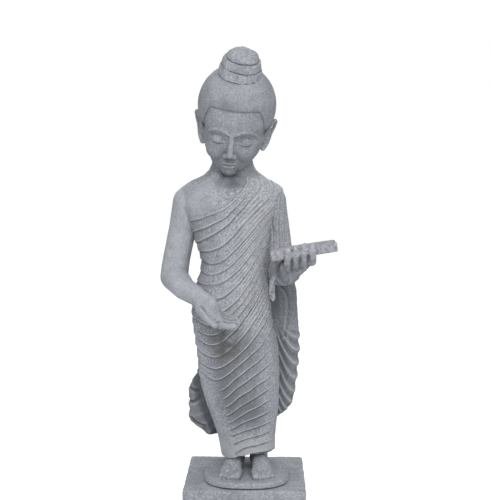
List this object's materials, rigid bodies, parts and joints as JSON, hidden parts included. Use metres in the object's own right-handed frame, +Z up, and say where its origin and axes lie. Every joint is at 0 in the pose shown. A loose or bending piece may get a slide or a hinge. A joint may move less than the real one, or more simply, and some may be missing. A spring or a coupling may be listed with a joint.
{
  "type": "standing buddha statue",
  "caption": "Standing robed figure in grey volcanic stone with bowed head, coiled hair knot, one open palm and a raised tablet, dowelled from carved blocks on a plain square plinth.",
  "frame": {"origin": "centre of the plinth's underside", "axes": "+Z up, the figure faces -Y, +X is the figure's own left"},
  "size_m": [0.4901, 0.392, 1.2696],
  "materials": {
    "stone": "chiselled and rubbed, matt, fine open grain",
    "pale_stone": "rubbed smoother and a little paler, matt",
    "mortar": "struck flush, gritty",
    "steel": "plain drawn bar"
  },
  "bodies": {
    "root": {"plinth": "stone", "mortar_bed": "mortar", "foot_block": "stone", "body_block": "stone", "head_block": "stone", "topknot": "stone", "right_forearm": "stone", "left_hand": "pale_stone", "tablet": "pale_stone", "neck_dowel": "steel", "right_elbow_dowel": "steel", "left_wrist_dowel": "steel", "right_ankle_dowel": "steel", "left_ankle_dowel": "steel", "topknot_dowel": "steel", "tablet_dowel": "steel"}
  },
  "joints": []
}
